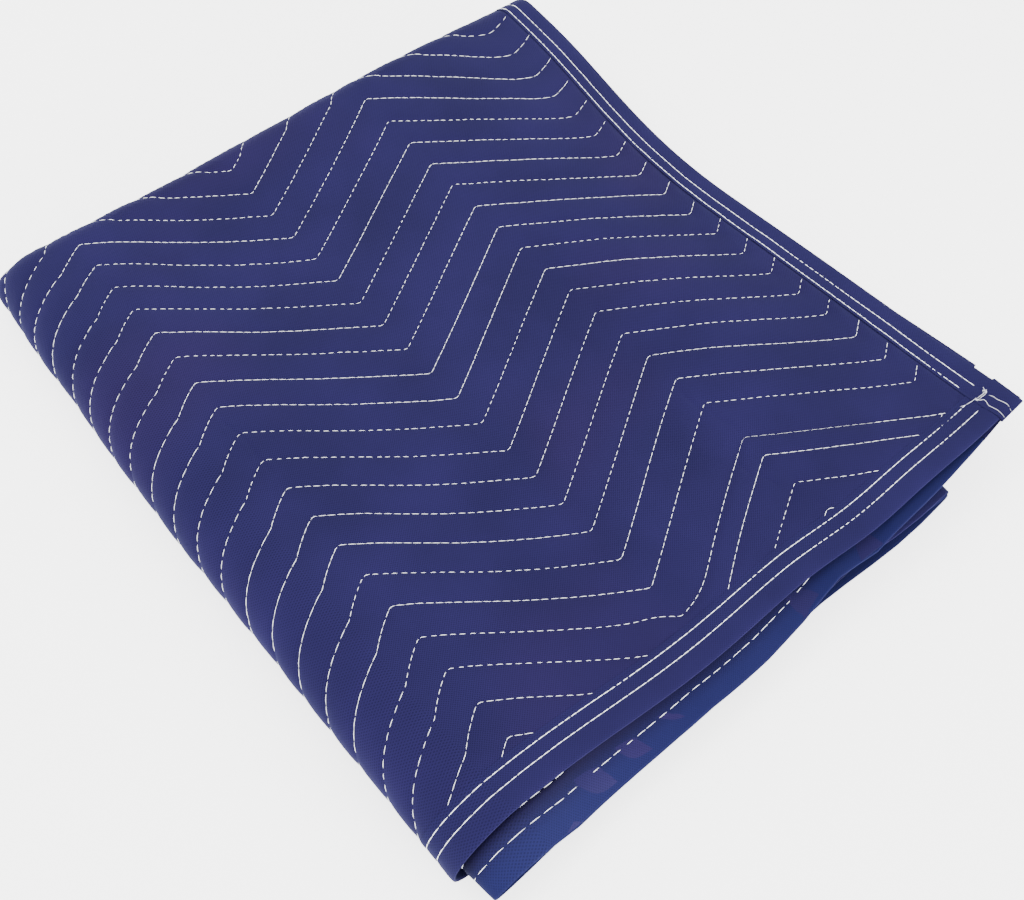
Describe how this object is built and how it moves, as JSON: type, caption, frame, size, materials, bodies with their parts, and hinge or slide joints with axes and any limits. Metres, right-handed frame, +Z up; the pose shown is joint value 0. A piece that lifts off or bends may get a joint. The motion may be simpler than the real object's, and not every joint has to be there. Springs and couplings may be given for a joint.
{
  "type": "moving blanket",
  "caption": "Quilted moving blanket with zigzag seams and bound edges, folded into a flat pile with folds on two sides and hems on the other two.",
  "frame": {"origin": "middle of the folded pile's footprint, on the surface it lies on", "axes": "+Z up, +X towards the side with the top ply's long bound edge, +Y towards the folded back, away from the front hems"},
  "size_m": [0.5019, 0.5425, 0.0475],
  "materials": {
    "quilted_cloth": "matte",
    "binding": "matte"
  },
  "bodies": {
    "root": {"quilted_cloth": "quilted_cloth", "binding_right_top": "binding", "binding_right_inner": "binding", "binding_front_top": "binding", "binding_front_inner": "binding"}
  },
  "joints": []
}
